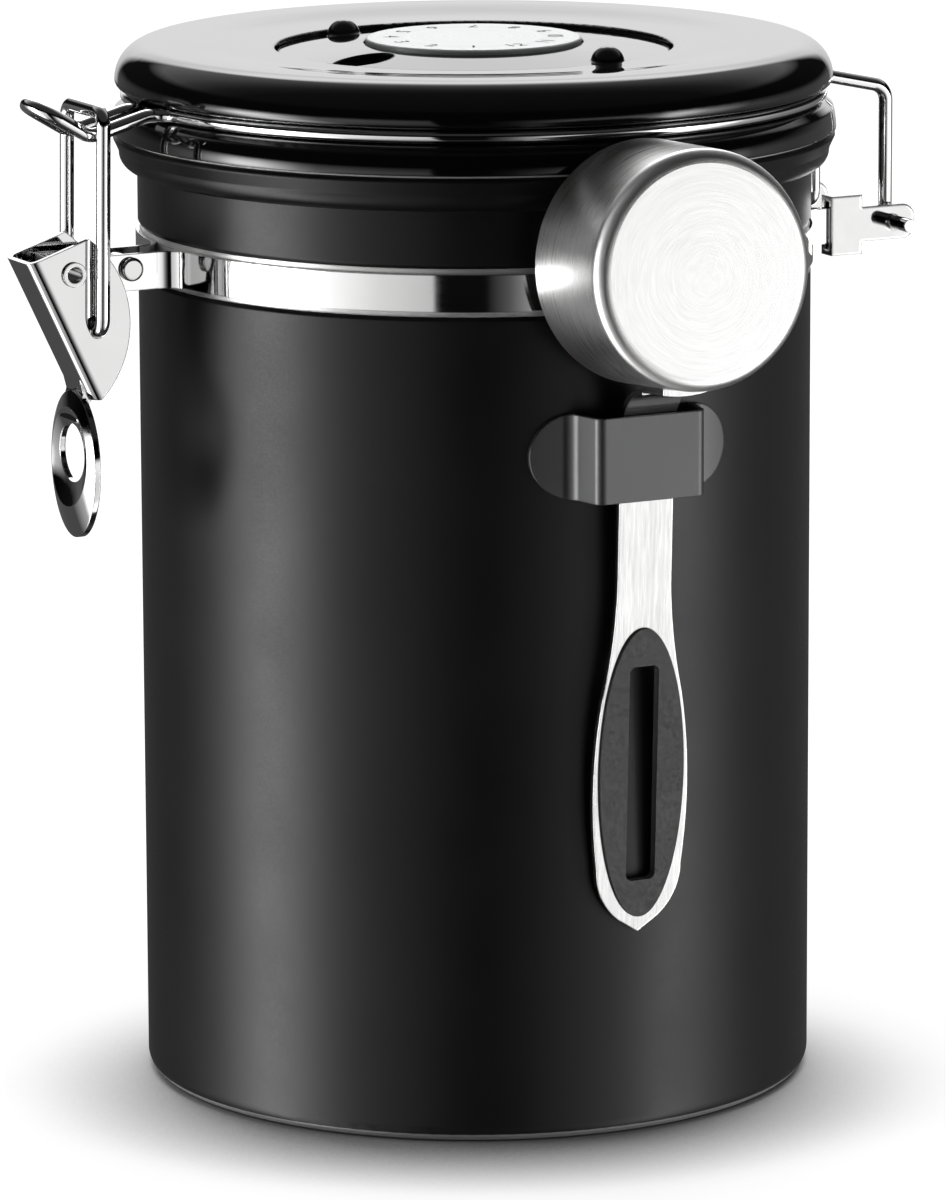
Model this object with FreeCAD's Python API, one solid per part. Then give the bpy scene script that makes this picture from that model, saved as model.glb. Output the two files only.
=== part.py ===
import FreeCAD, Part
import math
import os

# Coffee canister with a one-way valve: a steel can, a clamp strap, a bail lid with a date dial,
# an over-centre latch and a scoop in a holder. Millimetres, +Z up, origin at the middle of the base.
# The scoop is at -Y, the latch at -X and the lid's hinge at +X.

V = FreeCAD.Vector
ORIGIN = V(0, 0, 0)
X_AXIS = V(1, 0, 0)
Y_AXIS = V(0, 1, 0)
Z_AXIS = V(0, 0, 1)

# Clearances and cuts
seat_gap = 0.05          # between pieces that sit fixed on each other
run_gap = 0.08           # radial, between a pin and the hole that it turns in
slide_gap = 0.3          # between pieces that slide or swing past each other
rest_gap = 0.15          # between the scoop's bend and the holder's edge that it hangs on
overrun = 1.0            # how far a cutting body reaches past what it cuts
near_share = 0.001       # of an edge's length, for edges that lie in a plane

# Canister
body_radius = 60.0
canister_height = 170.4
wall = 0.8
base_corner = 3.0
mouth_round = 1.4
rim_overhang = 4.2
rim_depth = 6.0
rim_round = 0.8
rim_lip_gap = 0.5
rim_crease_height_share = 0.5
rim_crease_width_share = 0.76
rim_bead_height_share = 0.2
rim_bead_width_share = 0.66

# Strap that clamps the latch and the hinge to the canister
strap_drop = 20.2        # from the rim down to the strap's middle
strap_height = 6.5
strap_sheet = 0.8
strap_bend = 4.5
fold_inset = 1.0         # from the hinge ear's crimp end back to the fold's edge
groove_depth = 0.45
groove_margin = 0.8
groove_ramp = 0.8

# Strap rivet
strap_rivet_reach = 9.2
strap_rivet_radius = 1.4
strap_rivet_head_radius = 2.1
strap_rivet_head_height = 1.1
strap_rivet_shoulder = 0.8

# Latch lever and its tubular rivet
pivot_reach = 20.5       # from the body's wall out to the lever's pivot
pivot_rise = 0.6         # from the strap's middle up to the latch's two rivets
lever_width = 11.0
lever_sheet = 0.9
lever_bend = 2.0         # outside, where the sides turn into the web
lever_depth = 18.9
lever_length = 29.0
lever_crown_shares = (-0.444, 0.076)
lever_corner_shares = (0.153, 0.207)
lever_belly_shares = (0.556, -0.259)
lever_heel_shares = (0.259, -0.773)
lever_toe_shares = (0.175, -0.773)
lever_rivet_radius = 1.9
lever_rivet_bore = 1.4
lever_rivet_head_radius = 2.2
lever_rivet_head_height = 0.45
tail_length = 26.0
tail_width = 18.8
tail_crown = 2.2         # how far the tail's middle stands out from its edge
tail_overlap = 1.2
tail_set_out = 3.8       # from the lever's toe out to the tail's middle
tail_sheet = 1.0
tail_neck_width = 7.2
tail_neck_length = 8.0
finger_hole_radius = 5.2
finger_hole_rise = 2.0
dish_depth = 2.6         # at the middle of the hole, from the tail's crown
dish_curve = 25.0        # the radius of the dish round the hole

# Latch link
link_pin_in = 4.3
link_pin_down = 10.15
link_spread = 7.75       # from the middle to each leg
link_bend = 2.4
link_pin_inset = 0.7
bar_reach = 15.5
catch_gap = 2.0          # between the link's bar and the bail's nose

# Wire of the bail and the link
wire_radius = 1.25

# Lid shell
parting_gap = 0.5
lid_height = 15.5
flange_overhang = 4.4
flange_height = 3.7
flange_draft = 0.5
shoulder_rise = 1.1
shoulder_inset = 1.4
bulge_radius = 6.4
bulge_overhang = 3.8
lid_plate_drop = 1.1
lid_plate_blend = 19.4
lid_wall = 2.0
wire_height = 6.4        # from the lid's lower edge up to the bail wire
wire_seat_depth = 2.2    # from the bulge's side in to the wire's middle
lid_ring_width = 5.4
cavity_inset = 0.8
cavity_blend = 4.2

# Gasket and liner
gasket_width = 2.6
gasket_height = 2.05
gasket_inset = 0.9
gasket_squeeze_gap = 0.1
liner_sheet = 1.8
plug_depth = 4.8
plug_inset = 3.5
plug_taper = 3.0
plug_wall = 2.2

# Date dial
recess_radius = 35.3
recess_depth = 2.3
recess_round = 0.4
boss_radius = 11.0
boss_wall = 2.0
boss_height = 1.6
scale_sheet = 0.25
scale_inset = 1.0
axial_gap = 0.1
ring_gap = 0.5
ring_edge_height = 1.05
ring_crown_height = 2.55
ring_seat_height = 1.6
dial_radius = 19.2
dial_pocket_gap = 0.4
dial_thickness = 1.75
dial_round = 0.6
dial_hub_wall = 1.5
nub_radius = 3.0
nub_inset = 4.0
nub_sink = 0.2
nub_angle = -67.5
window_inset = 7.5
window_length = 12.6
window_width = 8.4
window_angle = -162.0
retainer_width = 2.6
retainer_sheet = 0.7

# One-way valve
valve_radius = 9.0
valve_flange_width = 2.5
valve_flange_sheet = 1.0
valve_wall = 1.4
valve_rise = 2.4
valve_seat_sheet = 0.8
valve_seat_level = 0.2
filter_wall = 1.0
filter_sheet = 1.0
vent_radius = 0.8
vent_circle = 3.6
vent_count = 6
disc_radius = 6.4
disc_sheet = 0.6
disc_lift = 0.7
cap_sheet = 1.0
cap_vent_radius = 0.9
cap_vent_circle = 4.6
cap_vent_count = 4
cap_stop_radius = 1.4

# Bail
nose_spread = 4.25
nose_reach = 16.6
nose_dip = 2.9
nose_length = 11.0
nose_rise_angle = 31.0
nose_dip_bend = 4.0
strand_bend = 3.5
strand_run = 1.2
strand_kink_bend = 6.0
hinge_reach = 17.0
hinge_spread = 13.1
arm_bend = 4.0
arm_run = 1.2
arm_drop = 2.7
arm_kink_bend = 5.0
leg_bend = 3.2
pin_bend = 1.9
pin_reach = 6.0

# Hinge ears
ear_sheet = 1.0
ear_crimp_start = 4.1
ear_crimp_length = 6.3
ear_crimp_height = 10.8
ear_lip = 2.6
ear_tongue_height = 6.3
ear_tongue_end = 4.3     # past the pin's middle
ear_tongue_round = 2.4

# Scoop
scoop_drop = 14.8        # from the rim down to the middle of the cup's mouth
cup_mouth_radius = 21.0
cup_base_radius = 20.5
cup_depth = 21.9
cup_wall = 0.8
cup_corner = 2.4
cup_tilt = 3.4           # degrees by which the cup's base is raised
cup_clearance = 0.9      # between the cup's mouth and the lid's edge
cup_shift = -1.2         # along X, from the handle's middle to the cup's middle
handle_sheet = 1.2
handle_standoff = 4.0    # from the canister's wall to the handle's back at the bend
handle_bend = 8.5
neck_width = 10.4
neck_length = 27.4
saddle_length = 7.5
blade_length = 61.5
blade_width = 18.4
blade_rim = 1.05         # left at each side of the grip
blade_flare_shares = (0.84, 0.31)
blade_flare_mid_shares = (0.66, 0.165)
blade_belly_shares = (1.0, 0.55)
blade_chin_shares = (0.9, 0.81)
blade_chin_mid_shares = (0.74, 0.905)
blade_point_shares = (0.42, 0.96)
grip_top_margin = 7.2
grip_tip_margin = 2.8
grip_proud = 0.6
grip_sink = 0.1
slot_margin = 6.6
slot_width = 5.7
slot_round = 1.2

# Scoop holder
holder_sheet = 0.8
holder_gap = 1.0         # from the handle's front to the holder's face
holder_height = 14.9
holder_face_width = 20.6
holder_foot_width = 23.6
holder_width = 38.0
holder_bend = 1.6        # outside, where the face turns into the sides
holder_foot_bend = 2.8   # outside, where the sides turn into the wings

# Levels and places worked out from the sizes above
strap_z = canister_height - strap_drop
strap_mid_radius = body_radius - groove_depth + seat_gap + strap_sheet / 2
cheek_inner = lever_width / 2 - lever_sheet
flange_outer = cheek_inner - slide_gap
flange_y = flange_outer - strap_sheet / 2
pivot = V(-(body_radius + pivot_reach), 0, strap_z + pivot_rise)
link_pin = pivot + V(link_pin_in, 0, -link_pin_down)
strap_rivet_x = -(body_radius + strap_rivet_reach)

lid_base = canister_height + parting_gap
lid_top = lid_base + lid_height
plate_z = lid_top - lid_plate_drop
flange_radius = body_radius + flange_overhang
bulge_side = body_radius + bulge_overhang
bulge_mid = bulge_side - bulge_radius
wire_z = lid_base + wire_height
wire_ring = bulge_side - wire_seat_depth
ring_bore = flange_radius - lid_ring_width
cavity_radius = ring_bore - cavity_inset
recess_floor = plate_z - recess_depth
floor_under = recess_floor - lid_wall
gasket_outer = flange_radius - gasket_inset
gasket_inner = gasket_outer - gasket_width
gasket_base = canister_height + gasket_squeeze_gap
gasket_top = gasket_base + gasket_height
liner_top = lid_base + gasket_height
liner_base = liner_top - liner_sheet

nose_low = V(-(body_radius + nose_reach), -nose_spread, wire_z - nose_dip)
bar_x = -(body_radius + bar_reach)
bar_z = nose_low.z + 2 * wire_radius + catch_gap
hinge_x = body_radius + hinge_reach
ear_inner = hinge_spread + pin_bend + slide_gap
fold_outer = ear_inner - seat_gap
fold_inner = fold_outer - 2 * strap_sheet
ear_outer = ear_inner + ear_sheet

tilt = math.radians(cup_tilt)
scoop_z = canister_height - scoop_drop
cup_mouth_y = -(flange_radius + cup_clearance + (lid_base - scoop_z) * math.tan(tilt))
cup_base_y = cup_mouth_y - cup_depth
cup_mouth = V(cup_shift, cup_mouth_y, scoop_z)
cup_taper = (cup_mouth_radius - cup_base_radius) / cup_depth
cup_up = V(0, math.sin(tilt), math.cos(tilt))
wall_angle = tilt + math.atan(cup_taper)
wall_up = V(0, math.sin(wall_angle), math.cos(wall_angle))
lean = math.asin((handle_standoff - slide_gap) / (neck_length + blade_length))
handle_ahead = V(0, -math.cos(lean), -math.sin(lean))
saddle_under = cup_mouth - cup_up * cup_mouth_radius - wall_up * (seat_gap + handle_sheet)
bend_rise = saddle_under.dot(wall_up) - handle_bend * (1 - math.sin(lean + wall_angle))
bend_start = V(0, -(body_radius + handle_standoff + handle_sheet), 0)
bend_start.z = (bend_rise - bend_start.y * wall_up.y) / wall_up.z
bend_centre = bend_start + handle_ahead * handle_bend
bend_end = bend_centre + wall_up * handle_bend
holder_back = bend_start.y - holder_gap
holder_hook = holder_back - bend_centre.y
holder_top = bend_centre.z + math.sqrt((handle_bend - rest_gap) ** 2 - holder_hook ** 2)
grip_length = blade_length - grip_top_margin - grip_tip_margin
grip_width = blade_width - 2 * blade_rim
grip_z = -(neck_length + grip_top_margin + grip_length / 2)
slot_length = grip_length - 2 * slot_margin


def flat(r, z):
    """A point of a profile in the XZ plane."""
    return V(r, 0, z)


def around(centre_r, centre_z, radius, start, end):
    """An arc of a profile about a centre, as its middle and end points; angles in degrees from +X."""
    points = []
    for angle in ((start + end) / 2, end):
        turn = math.radians(angle)
        points.append(flat(centre_r + radius * math.cos(turn), centre_z + radius * math.sin(turn)))
    return tuple(points)


def face_of(start, steps):
    """A flat face inside a closed outline; a step is a point, or an arc's middle and end points."""
    edges = []
    here = start
    for step in list(steps) + [start]:
        if isinstance(step, tuple):
            edges.append(Part.Arc(here, step[0], step[1]).toShape())
            here = step[1]
        elif here.distanceToPoint(step) > Part.Precision.confusion():
            edges.append(Part.LineSegment(here, step).toShape())
            here = step
    return Part.Face(Part.Wire(edges))


def revolved(start, *steps):
    """A solid turned about the Z axis."""
    return face_of(start, steps).revolve(ORIGIN, Z_AXIS, 360)


def turned_about_y(x, z, start, *steps):
    """A solid turned about a line along Y; the profile's points are given as radius and y."""
    def place(p):
        return V(x + p.x, p.z, z)

    placed = [tuple(place(p) for p in s) if isinstance(s, tuple) else place(s) for s in steps]
    return face_of(place(start), placed).revolve(V(x, 0, z), Y_AXIS, 360)


def box(x0, x1, y0, y1, z0, z1):
    """A box from its two corners."""
    return Part.makeBox(x1 - x0, y1 - y0, z1 - z0, V(x0, y0, z0))


def oval_face(along, across):
    """A flat oval about the origin, from its diameters along X and along Y."""
    ellipse = Part.Ellipse(ORIGIN, max(along, across) / 2, min(along, across) / 2).toShape()
    face = Part.Face(Part.Wire(ellipse))
    if across > along:
        face.rotate(ORIGIN, Z_AXIS, 90)
    return face


def rod(radius, start, end):
    """A round bar from one point to another."""
    return Part.makeCylinder(radius, start.distanceToPoint(end), start, end - start)


def mirrored(shape):
    """The same shape on the other side of the XZ plane."""
    return shape.mirror(ORIGIN, Y_AXIS)


def bent_edges(points, bends):
    """Straight runs joined by tangent arcs; bends holds the radius at each inner point."""
    edges = []
    here = points[0]
    for before, corner, after, radius in zip(points, points[1:], points[2:], bends):
        back = (before - corner).normalize()
        ahead = (after - corner).normalize()
        half = back.getAngle(ahead) / 2
        reach = radius / math.tan(half)
        inward = (back + ahead).normalize()
        start = corner + back * reach
        end = corner + ahead * reach
        middle = corner + inward * (radius / math.sin(half) - radius)
        edges.append(Part.LineSegment(here, start).toShape())
        edges.append(Part.Arc(start, middle, end).toShape())
        here = end
    edges.append(Part.LineSegment(here, points[-1]).toShape())
    return edges


def swept_wire(edges, start, direction):
    """A round wire along a path of edges."""
    path = Part.Wire(edges)
    section = Part.Wire(Part.makeCircle(wire_radius, start, direction))
    return path.makePipeShell([section], True, False)


def canister_body():
    """The spun steel can: flat base, a groove for the strap and a rolled rim."""
    inner = body_radius - wall
    low = strap_z - strap_height / 2 - groove_margin
    high = strap_z + strap_height / 2 + groove_margin
    rim_radius = body_radius + rim_overhang
    rim_low = canister_height - rim_depth
    under = canister_height - wall
    crease_z = rim_low + rim_depth * rim_crease_height_share
    crease_r = body_radius + rim_overhang * rim_crease_width_share
    lip = body_radius + rim_lip_gap
    bead_r = body_radius + rim_overhang * rim_bead_width_share
    bead = flat(bead_r, rim_low + rim_depth * rim_bead_height_share)
    return revolved(
        ORIGIN,
        flat(body_radius - base_corner, 0),
        around(body_radius - base_corner, base_corner, base_corner, -90, 0),
        flat(body_radius, low - groove_ramp),
        flat(body_radius - groove_depth, low),
        flat(body_radius - groove_depth, high),
        flat(body_radius, high + groove_ramp),
        flat(body_radius, under),
        flat(rim_radius - wall, under),
        flat(crease_r - wall, crease_z),
        flat(lip, rim_low),
        flat(lip + wall, rim_low),
        (bead, flat(crease_r, crease_z)),
        flat(rim_radius, canister_height - rim_round),
        around(rim_radius - rim_round, canister_height - rim_round, rim_round, 0, 90),
        flat(inner + mouth_round, canister_height),
        around(inner + mouth_round, canister_height - mouth_round, mouth_round, 90, 180),
        flat(inner, high + groove_ramp),
        flat(inner - groove_depth, high),
        flat(inner - groove_depth, low),
        flat(inner, low - groove_ramp),
        flat(inner, base_corner),
        around(body_radius - base_corner, base_corner, base_corner - wall, 0, -90),
        flat(0, wall),
    )


def strap_bend_place(side, y, away):
    """Where a strap end turns from the canister into a radial flange: the bend's centre and its angle."""
    far = strap_mid_radius + strap_bend
    centre = V(0, y + away * strap_bend, 0)
    centre.x = side * math.sqrt(far ** 2 - centre.y ** 2)
    return centre, math.degrees(math.atan2(centre.y, centre.x))


def strap_flange(side, y, away, end_x):
    """A bend and a radial flange, drawn from above and raised to the strap's height."""
    centre, angle = strap_bend_place(side, y, away)
    half = strap_sheet / 2
    outward = centre / centre.Length
    across = V(0, -away, 0)
    ring_mid = outward * strap_mid_radius
    bisector = (across - outward).normalize()
    near = strap_bend - half
    wide = strap_bend + half
    outline = [
        Part.Arc(centre - outward * near, centre + bisector * near, centre + across * near).toShape(),
        Part.LineSegment(centre + across * near, V(end_x, y + away * half, 0)).toShape(),
        Part.LineSegment(V(end_x, y + away * half, 0), V(end_x, y - away * half, 0)).toShape(),
        Part.LineSegment(V(end_x, y - away * half, 0), centre + across * wide).toShape(),
        Part.Arc(centre + across * wide, centre + bisector * wide, centre - outward * wide).toShape(),
        Part.LineSegment(ring_mid - outward * half, ring_mid + outward * half).toShape(),
    ]
    return Part.Face(Part.Wire(outline)), angle


def strap_arc(start, end):
    """A stretch of the strap round the canister, drawn from above, between two angles in degrees."""
    def at(radius, angle):
        return V(radius * math.cos(math.radians(angle)), radius * math.sin(math.radians(angle)), 0)

    inner = strap_mid_radius - strap_sheet / 2
    middle = (start + end) / 2
    outer = inner + strap_sheet
    outline = [
        Part.Arc(at(inner, start), at(inner, middle), at(inner, end)).toShape(),
        Part.LineSegment(at(inner, end), at(outer, end)).toShape(),
        Part.Arc(at(outer, end), at(outer, middle), at(outer, start)).toShape(),
        Part.LineSegment(at(outer, start), at(inner, start)).toShape(),
    ]
    return Part.Face(Part.Wire(outline))


def strap_band():
    """The strap: one strip with a flange at each latch end and two doubled folds at the hinge."""
    half = strap_sheet / 2
    latch_end = pivot.x - strap_height / 2
    fold_end = body_radius + ear_crimp_start + ear_crimp_length - fold_inset
    latch, latch_angle = strap_flange(-1, -flange_y, -1, latch_end)
    fold_front, front_angle = strap_flange(1, -(fold_outer - half), -1, fold_end)
    fold_back, back_angle = strap_flange(1, -(fold_inner + half), 1, fold_end)
    front = strap_arc(latch_angle, front_angle)
    middle = strap_arc(back_angle, -back_angle)
    faces = [latch, fold_front, fold_back, front]
    lift = V(0, 0, strap_z - strap_height / 2)
    rise = V(0, 0, strap_height)
    solids = [face.extrude(rise).translate(lift) for face in faces]
    solids += [mirrored(solid) for solid in solids]
    solids.append(middle.extrude(rise).translate(lift))
    strap = solids[0].fuse(solids[1:]).removeSplitter()
    across = V(0, lever_width, 0)
    rivet = V(strap_rivet_x, 0, pivot.z)
    for place, radius in ((pivot, lever_rivet_radius), (rivet, strap_rivet_radius)):
        strap = strap.cut(rod(radius + seat_gap, place - across, place + across))
    return strap


def strap_rivet():
    """The shouldered rivet that holds the strap's two ends together behind the lever."""
    inside = flange_outer - strap_sheet - seat_gap
    outside = flange_outer + seat_gap
    top = outside + strap_rivet_head_height
    shoulder = strap_rivet_radius + strap_rivet_shoulder
    return turned_about_y(
        strap_rivet_x, pivot.z,
        flat(0, -top),
        flat(strap_rivet_head_radius - strap_rivet_head_height / 2, -top),
        around(strap_rivet_head_radius - strap_rivet_head_height / 2, -top + strap_rivet_head_height / 2,
               strap_rivet_head_height / 2, -90, 0),
        flat(strap_rivet_head_radius, -outside),
        flat(strap_rivet_radius, -outside),
        flat(strap_rivet_radius, -inside),
        flat(shoulder, -inside),
        flat(shoulder, inside),
        flat(strap_rivet_radius, inside),
        flat(strap_rivet_radius, outside),
        flat(strap_rivet_head_radius, outside),
        flat(strap_rivet_head_radius, top - strap_rivet_head_height / 2),
        around(strap_rivet_head_radius - strap_rivet_head_height / 2, top - strap_rivet_head_height / 2,
               strap_rivet_head_height / 2, 0, 90),
        flat(0, top),
    )


def lever_rivet():
    """The tubular rivet that the lever turns on."""
    face = lever_width / 2 + run_gap
    top = face + lever_rivet_head_height
    return turned_about_y(
        pivot.x, pivot.z,
        flat(lever_rivet_bore, -top),
        flat(lever_rivet_head_radius, -top),
        flat(lever_rivet_head_radius, -face),
        flat(lever_rivet_radius, -face),
        flat(lever_rivet_radius, face),
        flat(lever_rivet_head_radius, face),
        flat(lever_rivet_head_radius, top),
        flat(lever_rivet_bore, top),
    )


def hinge_ear():
    """The front hinge ear: a stamped tongue with lips crimped round the strap's fold."""
    start = body_radius + ear_crimp_start
    end = start + ear_crimp_length
    half = ear_crimp_height / 2
    lip_y = fold_inner - seat_gap
    plate = box(start, end, -ear_outer, -ear_inner, strap_z - half, strap_z + half)
    ear = plate
    for side in (-1, 1):
        edge = strap_z + side * half
        inside = edge - side * ear_sheet
        tip = edge - side * (ear_sheet + ear_lip)
        bridge = box(start, end, -ear_outer, -(lip_y - ear_sheet), min(edge, inside), max(edge, inside))
        lip = box(start, end, -lip_y, -(lip_y - ear_sheet), min(edge, tip), max(edge, tip))
        ear = ear.fuse([bridge, lip])
    tongue_end = hinge_x + ear_tongue_end
    low = strap_z - ear_tongue_height / 2
    high = strap_z + ear_tongue_height / 2
    turn = ear_tongue_round
    tongue = face_of(flat(start, low), [
        flat(tongue_end - turn, low),
        around(tongue_end - turn, low + turn, turn, -90, 0),
        flat(tongue_end, high - turn),
        around(tongue_end - turn, high - turn, turn, 0, 90),
        flat(start, high),
    ]).extrude(V(0, -ear_sheet, 0)).translate(V(0, -ear_inner, 0))
    pin = V(hinge_x, -hinge_spread, strap_z)
    hole = rod(wire_radius + run_gap, pin, pin - V(0, ear_outer, 0))
    return ear.fuse(tongue).removeSplitter().cut(hole)


def scoop_holder():
    """The bent sheet pocket on the canister's front, with a round wing at each side."""
    inner = body_radius + seat_gap
    outer = inner + holder_sheet
    middle = (inner + outer) / 2
    face_y = holder_back
    half_face = holder_face_width / 2
    half_foot = holder_foot_width / 2
    low = holder_top - holder_height

    def on_ring(radius, x):
        return V(x, -math.sqrt(radius ** 2 - x ** 2), low)

    def wing(side):
        tip = side * holder_width / 2
        root = side * (half_foot - holder_sheet)
        mid = (tip + root) / 2
        outline = [
            Part.Arc(on_ring(inner, root), on_ring(inner, mid), on_ring(inner, tip)).toShape(),
            Part.LineSegment(on_ring(inner, tip), on_ring(outer, tip)).toShape(),
            Part.Arc(on_ring(outer, tip), on_ring(outer, mid), on_ring(outer, root)).toShape(),
            Part.LineSegment(on_ring(outer, root), on_ring(inner, root)).toShape(),
        ]
        return Part.Face(Part.Wire(outline))

    def riser(side):
        outline = [
            V(side * half_face, face_y - holder_sheet, low),
            on_ring(outer, side * half_foot),
            on_ring(middle, side * half_foot),
            on_ring(middle, side * (half_foot - holder_sheet)),
            V(side * (half_face - holder_sheet), face_y, low),
        ]
        return Part.Face(Part.makePolygon(outline + outline[:1]))

    rise = V(0, 0, holder_height)
    pieces = [box(-half_face, half_face, face_y - holder_sheet, face_y, low, holder_top)]
    for side in (-1, 1):
        pieces += [wing(side).extrude(rise), riser(side).extrude(rise)]
    holder = pieces[0].fuse(pieces[1:]).removeSplitter()
    bends = [
        (V(half_face, face_y - holder_sheet, low), holder_bend),
        (V(half_face - holder_sheet, face_y, low), holder_bend - holder_sheet),
        (on_ring(outer, half_foot), holder_foot_bend),
    ]
    for corner, radius in bends:
        holder = rounded_along(holder, Z_AXIS, corner, Y_AXIS, radius)
    round_end = holder_height / 2
    reach = holder_width / 2 - round_end
    middle_z = holder_top - round_end
    depth = V(0, -2 * body_radius, 0)
    stadium = box(-reach, reach, depth.y, 0, low, holder_top)
    for side in (-1, 1):
        end = V(side * reach, 0, middle_z)
        stadium = stadium.fuse(rod(round_end, end, end + depth))
    return holder.common(stadium)


def groove_turn(side, y, bend):
    """Where the bail leaves its groove: the bend's centre, its points on the ring and on the strand."""
    centre = V(0, y - bend, wire_z)
    centre.x = side * math.sqrt((wire_ring + bend) ** 2 - centre.y ** 2)
    outward = V(centre.x, centre.y, 0).normalize()
    on_ring = V(0, 0, wire_z) + outward * wire_ring
    on_strand = V(centre.x, y, wire_z)
    middle = centre + (Y_AXIS - outward).normalize() * bend
    return on_ring, middle, on_strand


def bail_wire():
    """The bail: one wire round the lid, with a hooked nose at the latch and two pins at the hinge."""
    rise = math.radians(nose_rise_angle)
    slope = V(-math.cos(rise), 0, math.sin(rise))
    ring_latch, middle_latch, strand = groove_turn(-1, -nose_spread, strand_bend)
    ring_hinge, middle_hinge, arm = groove_turn(1, -hinge_spread, arm_bend)
    nose_end = nose_low + slope * (nose_length - nose_spread)
    tip = nose_end + slope * nose_spread + V(0, nose_spread, 0)
    strand_kink = strand - V(strand_run, 0, 0)
    nose = bent_edges([nose_end, nose_low, strand_kink, strand], [nose_dip_bend, strand_kink_bend])
    arm_kink = arm + V(arm_run, 0, 0)
    knee = V(hinge_x, -hinge_spread, wire_z - arm_drop)
    pin = V(hinge_x, -hinge_spread, strap_z)
    pin_end = V(hinge_x, -(ear_outer + pin_reach), strap_z)
    leg = bent_edges([arm, arm_kink, knee, pin, pin_end], [arm_kink_bend, leg_bend, pin_bend])
    ring_middle = V(0, -wire_ring, wire_z)
    half = nose + [Part.Arc(strand, middle_latch, ring_latch).toShape()]
    half += [Part.Arc(ring_latch, ring_middle, ring_hinge).toShape()]
    half += [Part.Arc(ring_hinge, middle_hinge, arm).toShape()] + leg
    other = [mirrored(edge) for edge in half]
    other_end = V(nose_end.x, -nose_end.y, nose_end.z)
    edges = Part.__sortEdges__(half + [Part.Arc(nose_end, tip, other_end).toShape()] + other)
    return swept_wire(edges, pin_end, Y_AXIS)


def lid_shell():
    """The gloss lid: flange, bail groove, rounded bulge, flat top with a recess, hollow underneath."""
    bulge_z = lid_top - bulge_radius
    groove = wire_radius + seat_gap
    shoulder = flange_radius - flange_draft - shoulder_inset
    lower_round = bulge_z - wire_z - groove
    blend = lid_plate_blend / 2
    half_drop = lid_plate_drop / 2
    quarter_drop = lid_plate_drop / 8
    plate_edge = bulge_mid - lid_plate_blend
    under = plate_z - lid_wall
    recess_out = recess_radius + lid_wall
    seat_z = liner_top + seat_gap
    gasket_roof = gasket_top + seat_gap
    bore = boss_radius - boss_wall
    return revolved(
        flat(flange_radius, lid_base),
        (flat(flange_radius - flange_draft / 4, lid_base + flange_height / 2),
         flat(flange_radius - flange_draft, lid_base + flange_height)),
        flat(shoulder, lid_base + flange_height + shoulder_rise),
        flat(wire_ring, wire_z - groove),
        around(wire_ring, wire_z, groove, 270, 90),
        flat(bulge_side - lower_round, wire_z + groove),
        around(bulge_side - lower_round, bulge_z, lower_round, -90, 0),
        around(bulge_mid, bulge_z, bulge_radius, 0, 90),
        (flat(bulge_mid - blend / 2, lid_top - quarter_drop), flat(bulge_mid - blend, lid_top - half_drop)),
        (flat(plate_edge + blend / 2, plate_z + quarter_drop), flat(plate_edge, plate_z)),
        flat(recess_radius + recess_round, plate_z),
        around(recess_radius + recess_round, plate_z - recess_round, recess_round, 90, 180),
        flat(recess_radius, recess_floor),
        flat(boss_radius, recess_floor),
        flat(boss_radius, recess_floor + boss_height),
        flat(bore, recess_floor + boss_height),
        flat(bore, floor_under),
        flat(recess_out, floor_under),
        flat(recess_out, under),
        flat(cavity_radius - cavity_blend, under),
        around(cavity_radius - cavity_blend, under - cavity_blend, cavity_blend, 90, 0),
        flat(cavity_radius, seat_z),
        flat(ring_bore, seat_z),
        flat(ring_bore, lid_base),
        flat(gasket_inner - seat_gap, lid_base),
        flat(gasket_inner - seat_gap, gasket_roof),
        flat(gasket_outer + seat_gap, gasket_roof),
        flat(gasket_outer + seat_gap, lid_base),
    )


def lid_gasket():
    """The silicone seal between the lid and the canister's rim."""
    return revolved(
        flat(gasket_inner, gasket_base),
        flat(gasket_outer, gasket_base),
        flat(gasket_outer, gasket_top),
        flat(gasket_inner, gasket_top),
    )


def lid_liner():
    """The plate that closes the lid from below, with a tapered plug and the valve's bore."""
    edge = ring_bore - seat_gap
    plug = edge - plug_inset
    tip = plug - plug_taper
    bore = valve_radius + seat_gap
    return revolved(
        flat(bore, liner_base),
        flat(plug - plug_wall, liner_base),
        flat(tip - plug_wall, liner_base - plug_depth),
        flat(tip, liner_base - plug_depth),
        flat(plug, liner_base),
        flat(edge, liner_base),
        flat(edge, liner_top),
        flat(bore, liner_top),
    )


def holes_on_circle(radius, circle, count, low, high):
    """Round holes through a plate, spread evenly on a circle about the Z axis."""
    holes = []
    for number in range(count):
        turn = 2 * math.pi * number / count
        place = V(circle * math.cos(turn), circle * math.sin(turn), low - overrun)
        holes.append(rod(radius, place, place + V(0, 0, high - low + 2 * overrun)))
    return holes


valve_flange_top = liner_base - seat_gap
valve_base = valve_flange_top - valve_flange_sheet
valve_top = liner_top + valve_rise
seat_base = valve_flange_top + valve_seat_level
seat_top = seat_base + valve_seat_sheet
chamber_radius = valve_radius - valve_wall
disc_base = seat_top + axial_gap
disc_top = disc_base + disc_sheet


def valve_body():
    """The one-way valve's cup, pressed into the liner, with a vented seat."""
    filter_radius = valve_radius - filter_wall
    cup = revolved(
        flat(filter_radius, valve_base),
        flat(valve_radius + valve_flange_width, valve_base),
        flat(valve_radius + valve_flange_width, valve_flange_top),
        flat(valve_radius, valve_flange_top),
        flat(valve_radius, valve_top),
        flat(chamber_radius, valve_top),
        flat(chamber_radius, seat_top),
        flat(0, seat_top),
        flat(0, seat_base),
        flat(filter_radius, seat_base),
    )
    return cup.cut(holes_on_circle(vent_radius, vent_circle, vent_count, seat_base, seat_top))


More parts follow.
